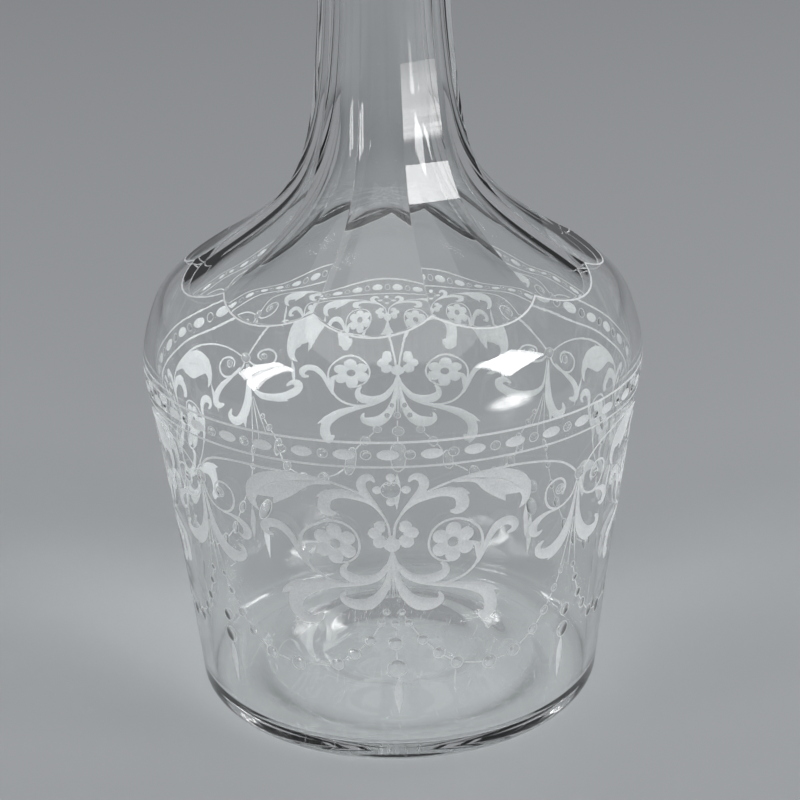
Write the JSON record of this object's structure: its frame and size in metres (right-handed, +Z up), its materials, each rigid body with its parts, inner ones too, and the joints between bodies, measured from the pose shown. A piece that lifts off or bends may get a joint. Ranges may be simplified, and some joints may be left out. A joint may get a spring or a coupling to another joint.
{
  "type": "carafe",
  "caption": "Clear glass carafe with a tapered engraved body, round shoulder, panel-cut neck, rounded lip and a ground-in glass stopper that lifts out.",
  "frame": {"origin": "middle of the underside, on the surface the carafe stands on", "axes": "+Z up along the vessel's axis; -Y is the front, where a main motif of the engraving sits; +X to the right seen from the front"},
  "size_m": [0.1239, 0.124, 0.258],
  "materials": {
    "clear_glass": "polished clear crystal, wheel-engraved with matt ornament",
    "stopper_glass": "polished clear crystal with a ground matt shank"
  },
  "bodies": {
    "vessel": {"vessel": "clear_glass"},
    "stopper": {"stopper": "stopper_glass"}
  },
  "joints": [
    {"name": "stopper_lift", "type": "slide", "parent": "vessel", "child": "stopper", "axis": [0, 0, 1], "range_m": [0, 0.06]}
  ]
}
